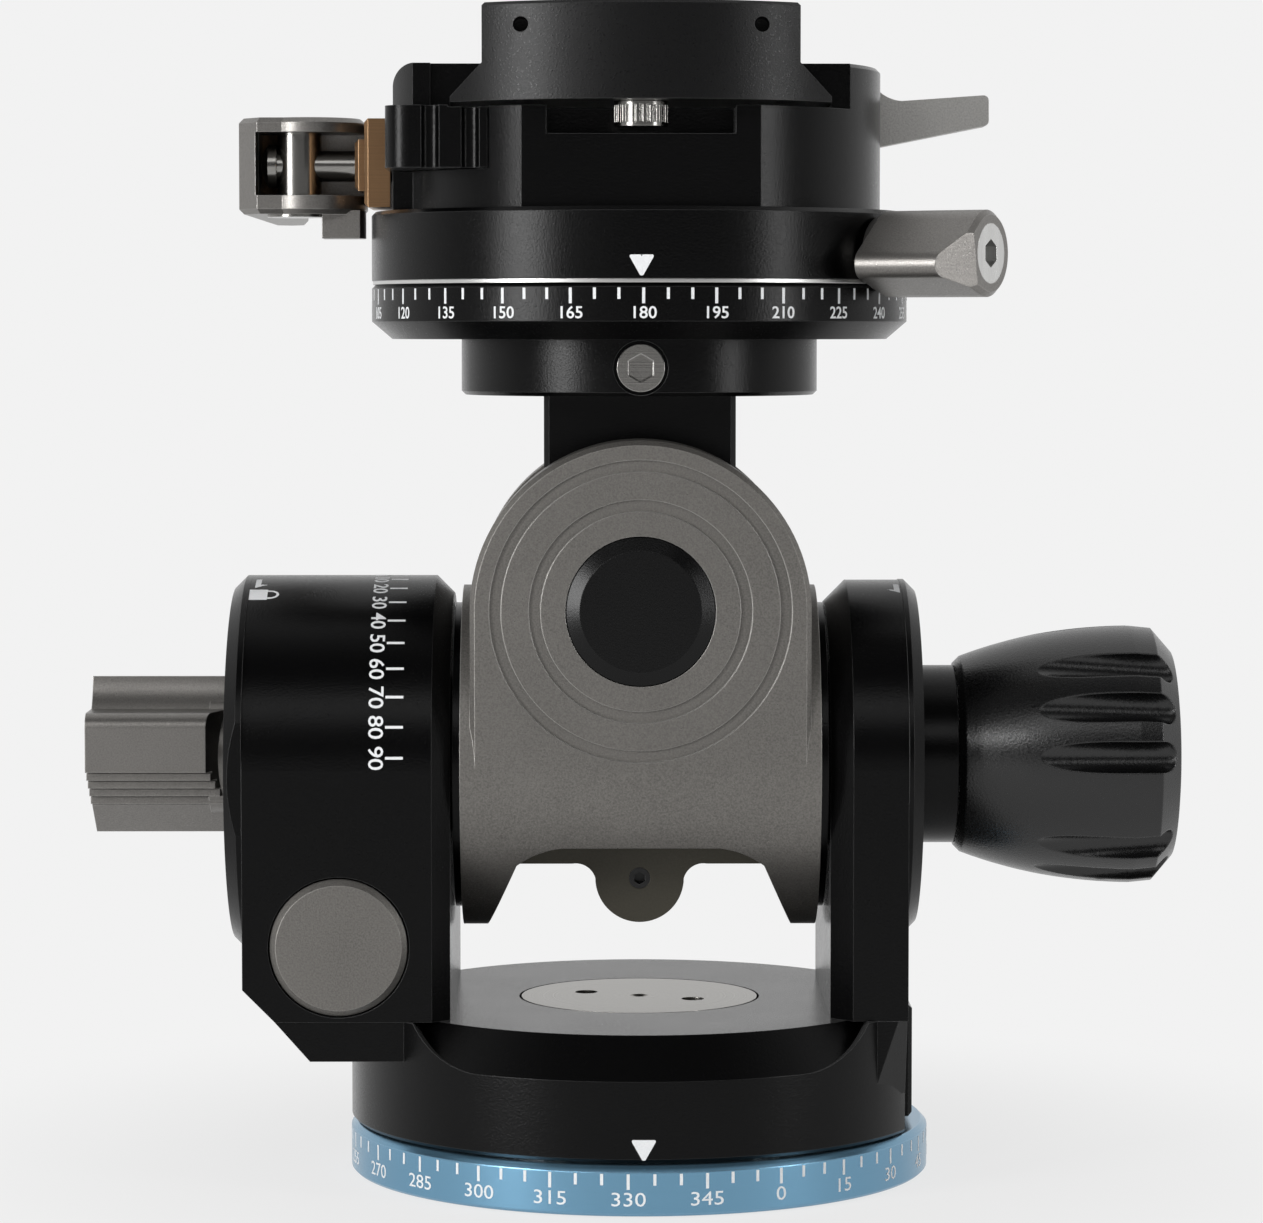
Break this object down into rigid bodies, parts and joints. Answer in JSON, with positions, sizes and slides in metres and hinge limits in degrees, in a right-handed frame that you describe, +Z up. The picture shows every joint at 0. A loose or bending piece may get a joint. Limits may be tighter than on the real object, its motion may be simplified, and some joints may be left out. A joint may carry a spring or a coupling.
{
  "type": "geared tripod head",
  "caption": "Three-way geared camera head: panning base, worm-driven tilt and roll, upper panning stage and a dovetail quick-release clamp with plate.",
  "frame": {"origin": "centre of the tripod socket's mouth in the flat underside", "axes": "+Z up through the pan axis, +X towards the fluted roll knob along the tilt axis, -Y towards the front with the roll axis cap"},
  "size_m": [0.1134, 0.0802, 0.12],
  "materials": {
    "blue_anodise": "satin blue anodised aluminium",
    "turned_steel": "turned stainless steel",
    "thin_steel": "bright steel washer",
    "black_anodise": "fine-grained black anodised aluminium",
    "black_grip": "satin black knobs",
    "black_plate": "sand-blasted black camera plate",
    "titan_grey": "sand-blasted grey aluminium",
    "olive_grey": "dull olive-grey plate",
    "bronze": "bronze bearing metal",
    "screw_steel": "bright stainless screws and pins",
    "screw_black": "blackened steel screws",
    "pad_rubber": "black rubber strips"
  },
  "bodies": {
    "base": {"base_ring": "blue_anodise", "pan_spindle": "turned_steel", "pan_thrust_washer": "thin_steel"},
    "fork": {"pan_body": "black_anodise", "pan_side_plate": "black_anodise", "side_plate_screws": "screw_steel", "arm_screws": "screw_black", "tilt_gear_housing": "black_anodise", "tilt_housing_cover": "black_anodise", "right_arm": "black_anodise", "right_arm_bezel": "black_anodise", "left_trunnion_bush": "bronze", "right_trunnion_bush": "bronze", "tilt_worm_cap": "titan_grey", "tilt_worm_bushes": "bronze"},
    "pan_lock": {"pan_lock_screw": "screw_steel", "pan_lock_knob": "black_grip"},
    "tilt_worm": {"tilt_worm_shaft": "screw_steel", "tilt_knob": "black_grip"},
    "tilt_lock": {"tilt_lock_wing": "titan_grey", "tilt_lock_screw": "screw_steel"},
    "tilt_block": {"tilt_block": "titan_grey", "left_trunnion": "black_anodise", "right_trunnion": "black_anodise", "tilt_wheel": "bronze", "worm_adjust_plate": "olive_grey", "worm_adjust_screw": "screw_steel", "roll_axis_cap": "black_anodise", "roll_bushes": "bronze", "roll_worm_bushes": "bronze"},
    "roll_worm": {"roll_worm_shaft": "screw_steel", "roll_knob": "black_grip", "roll_knob_set_screw": "screw_steel"},
    "roll_lock": {"roll_lock_wing": "titan_grey", "roll_lock_screw": "screw_steel"},
    "roll_neck": {"roll_neck": "black_anodise", "roll_axis_pin": "screw_steel", "roll_sector_gear": "bronze", "neck_collar": "black_anodise", "collar_clamp_screw": "screw_steel", "upper_scale_ring": "black_anodise", "upper_pan_spindle": "turned_steel", "upper_pan_washer": "thin_steel"},
    "upper_pan": {"upper_pan_body": "black_anodise", "clamp_base": "black_anodise", "clamp_screws": "screw_black", "pull_rod": "screw_steel", "lever_pin": "screw_steel", "release_lever_pin": "screw_steel"},
    "upper_pan_lock": {"upper_pan_lock_lever": "titan_grey", "upper_pan_lock_screw": "screw_steel"},
    "moving_jaw": {"moving_jaw": "black_anodise", "jaw_guide_pins": "screw_steel", "cam_plate": "bronze"},
    "cam_lever": {"cam_lever": "titan_grey"},
    "release_lever": {"release_lever": "titan_grey"},
    "camera_plate": {"qr_plate": "black_plate", "plate_pads": "pad_rubber", "stop_screws": "screw_steel"},
    "camera_screw": {"camera_screw": "screw_steel"}
  },
  "joints": [
    {"name": "lower_pan", "type": "hinge", "parent": "base", "child": "fork", "pos_m": [0, 0, 0.0176], "axis": [0, 0, 1], "continuous": true},
    {"name": "pan_lock_turn", "type": "hinge", "parent": "fork", "child": "pan_lock", "pos_m": [0, 0.03, 0.0096], "axis": [0, 1, 0], "range_deg": [0, 180]},
    {"name": "tilt", "type": "hinge", "parent": "fork", "child": "tilt_block", "pos_m": [0, 0, 0.0431], "axis": [1, 0, 0], "range_deg": [-30, 90]},
    {"name": "tilt_worm_turn", "type": "hinge", "parent": "fork", "child": "tilt_worm", "pos_m": [-0.0305, 0, 0.0252], "axis": [0, 1, 0], "range_deg": [-2250, 750]},
    {"name": "tilt_lock_turn", "type": "hinge", "parent": "fork", "child": "tilt_lock", "pos_m": [-0.0427, 0, 0.0431], "axis": [-1, 0, 0], "range_deg": [0, 90]},
    {"name": "roll", "type": "hinge", "parent": "tilt_block", "child": "roll_neck", "pos_m": [0, 0, 0.0591], "axis": [0, 1, 0], "range_deg": [-30, 30]},
    {"name": "roll_worm_turn", "type": "hinge", "parent": "tilt_block", "child": "roll_worm", "pos_m": [0.0329, 0, 0.0431], "axis": [1, 0, 0], "range_deg": [-660, 660]},
    {"name": "roll_lock_turn", "type": "hinge", "parent": "tilt_block", "child": "roll_lock", "pos_m": [0, 0.0183, 0.0591], "axis": [0, 1, 0], "range_deg": [0, 90]},
    {"name": "upper_pan", "type": "hinge", "parent": "roll_neck", "child": "upper_pan", "pos_m": [0, 0, 0.0925], "axis": [0, 0, 1], "continuous": true},
    {"name": "upper_pan_lock_turn", "type": "hinge", "parent": "upper_pan", "child": "upper_pan_lock", "pos_m": [0.02571, -0.01545, 0.09505], "axis": [0.8572, -0.515, 0], "range_deg": [0, 90]},
    {"name": "cam_lever_swing", "type": "hinge", "parent": "upper_pan", "child": "cam_lever", "pos_m": [-0.0353, 0, 0.1045], "axis": [0, 0, 1], "range_deg": [0, 100]},
    {"name": "jaw_slide", "type": "slide", "parent": "upper_pan", "child": "moving_jaw", "axis": [1, 0, 0], "range_m": [-0.002, 0]},
    {"name": "release_lever_swing", "type": "hinge", "parent": "upper_pan", "child": "release_lever", "pos_m": [0.0219, 0.007, 0.1095], "axis": [0, 0, 1], "range_deg": [0, 25], "stiffness_Nm_per_rad": 0.02},
    {"name": "plate_slide", "type": "slide", "parent": "upper_pan", "child": "camera_plate", "axis": [0, 1, 0], "range_m": [-0.002, 0.002]},
    {"name": "camera_screw_lift", "type": "slide", "parent": "camera_plate", "child": "camera_screw", "axis": [0, 0, 1], "range_m": [0, 0.0046]}
  ],
  "couplings": [
    {"joint": "tilt_worm_turn", "follows": "tilt", "ratio": -25},
    {"joint": "roll_worm_turn", "follows": "roll", "ratio": 22},
    {"joint": "jaw_slide", "follows": "cam_lever_swing", "m_per_rad": -0.0011459}
  ]
}
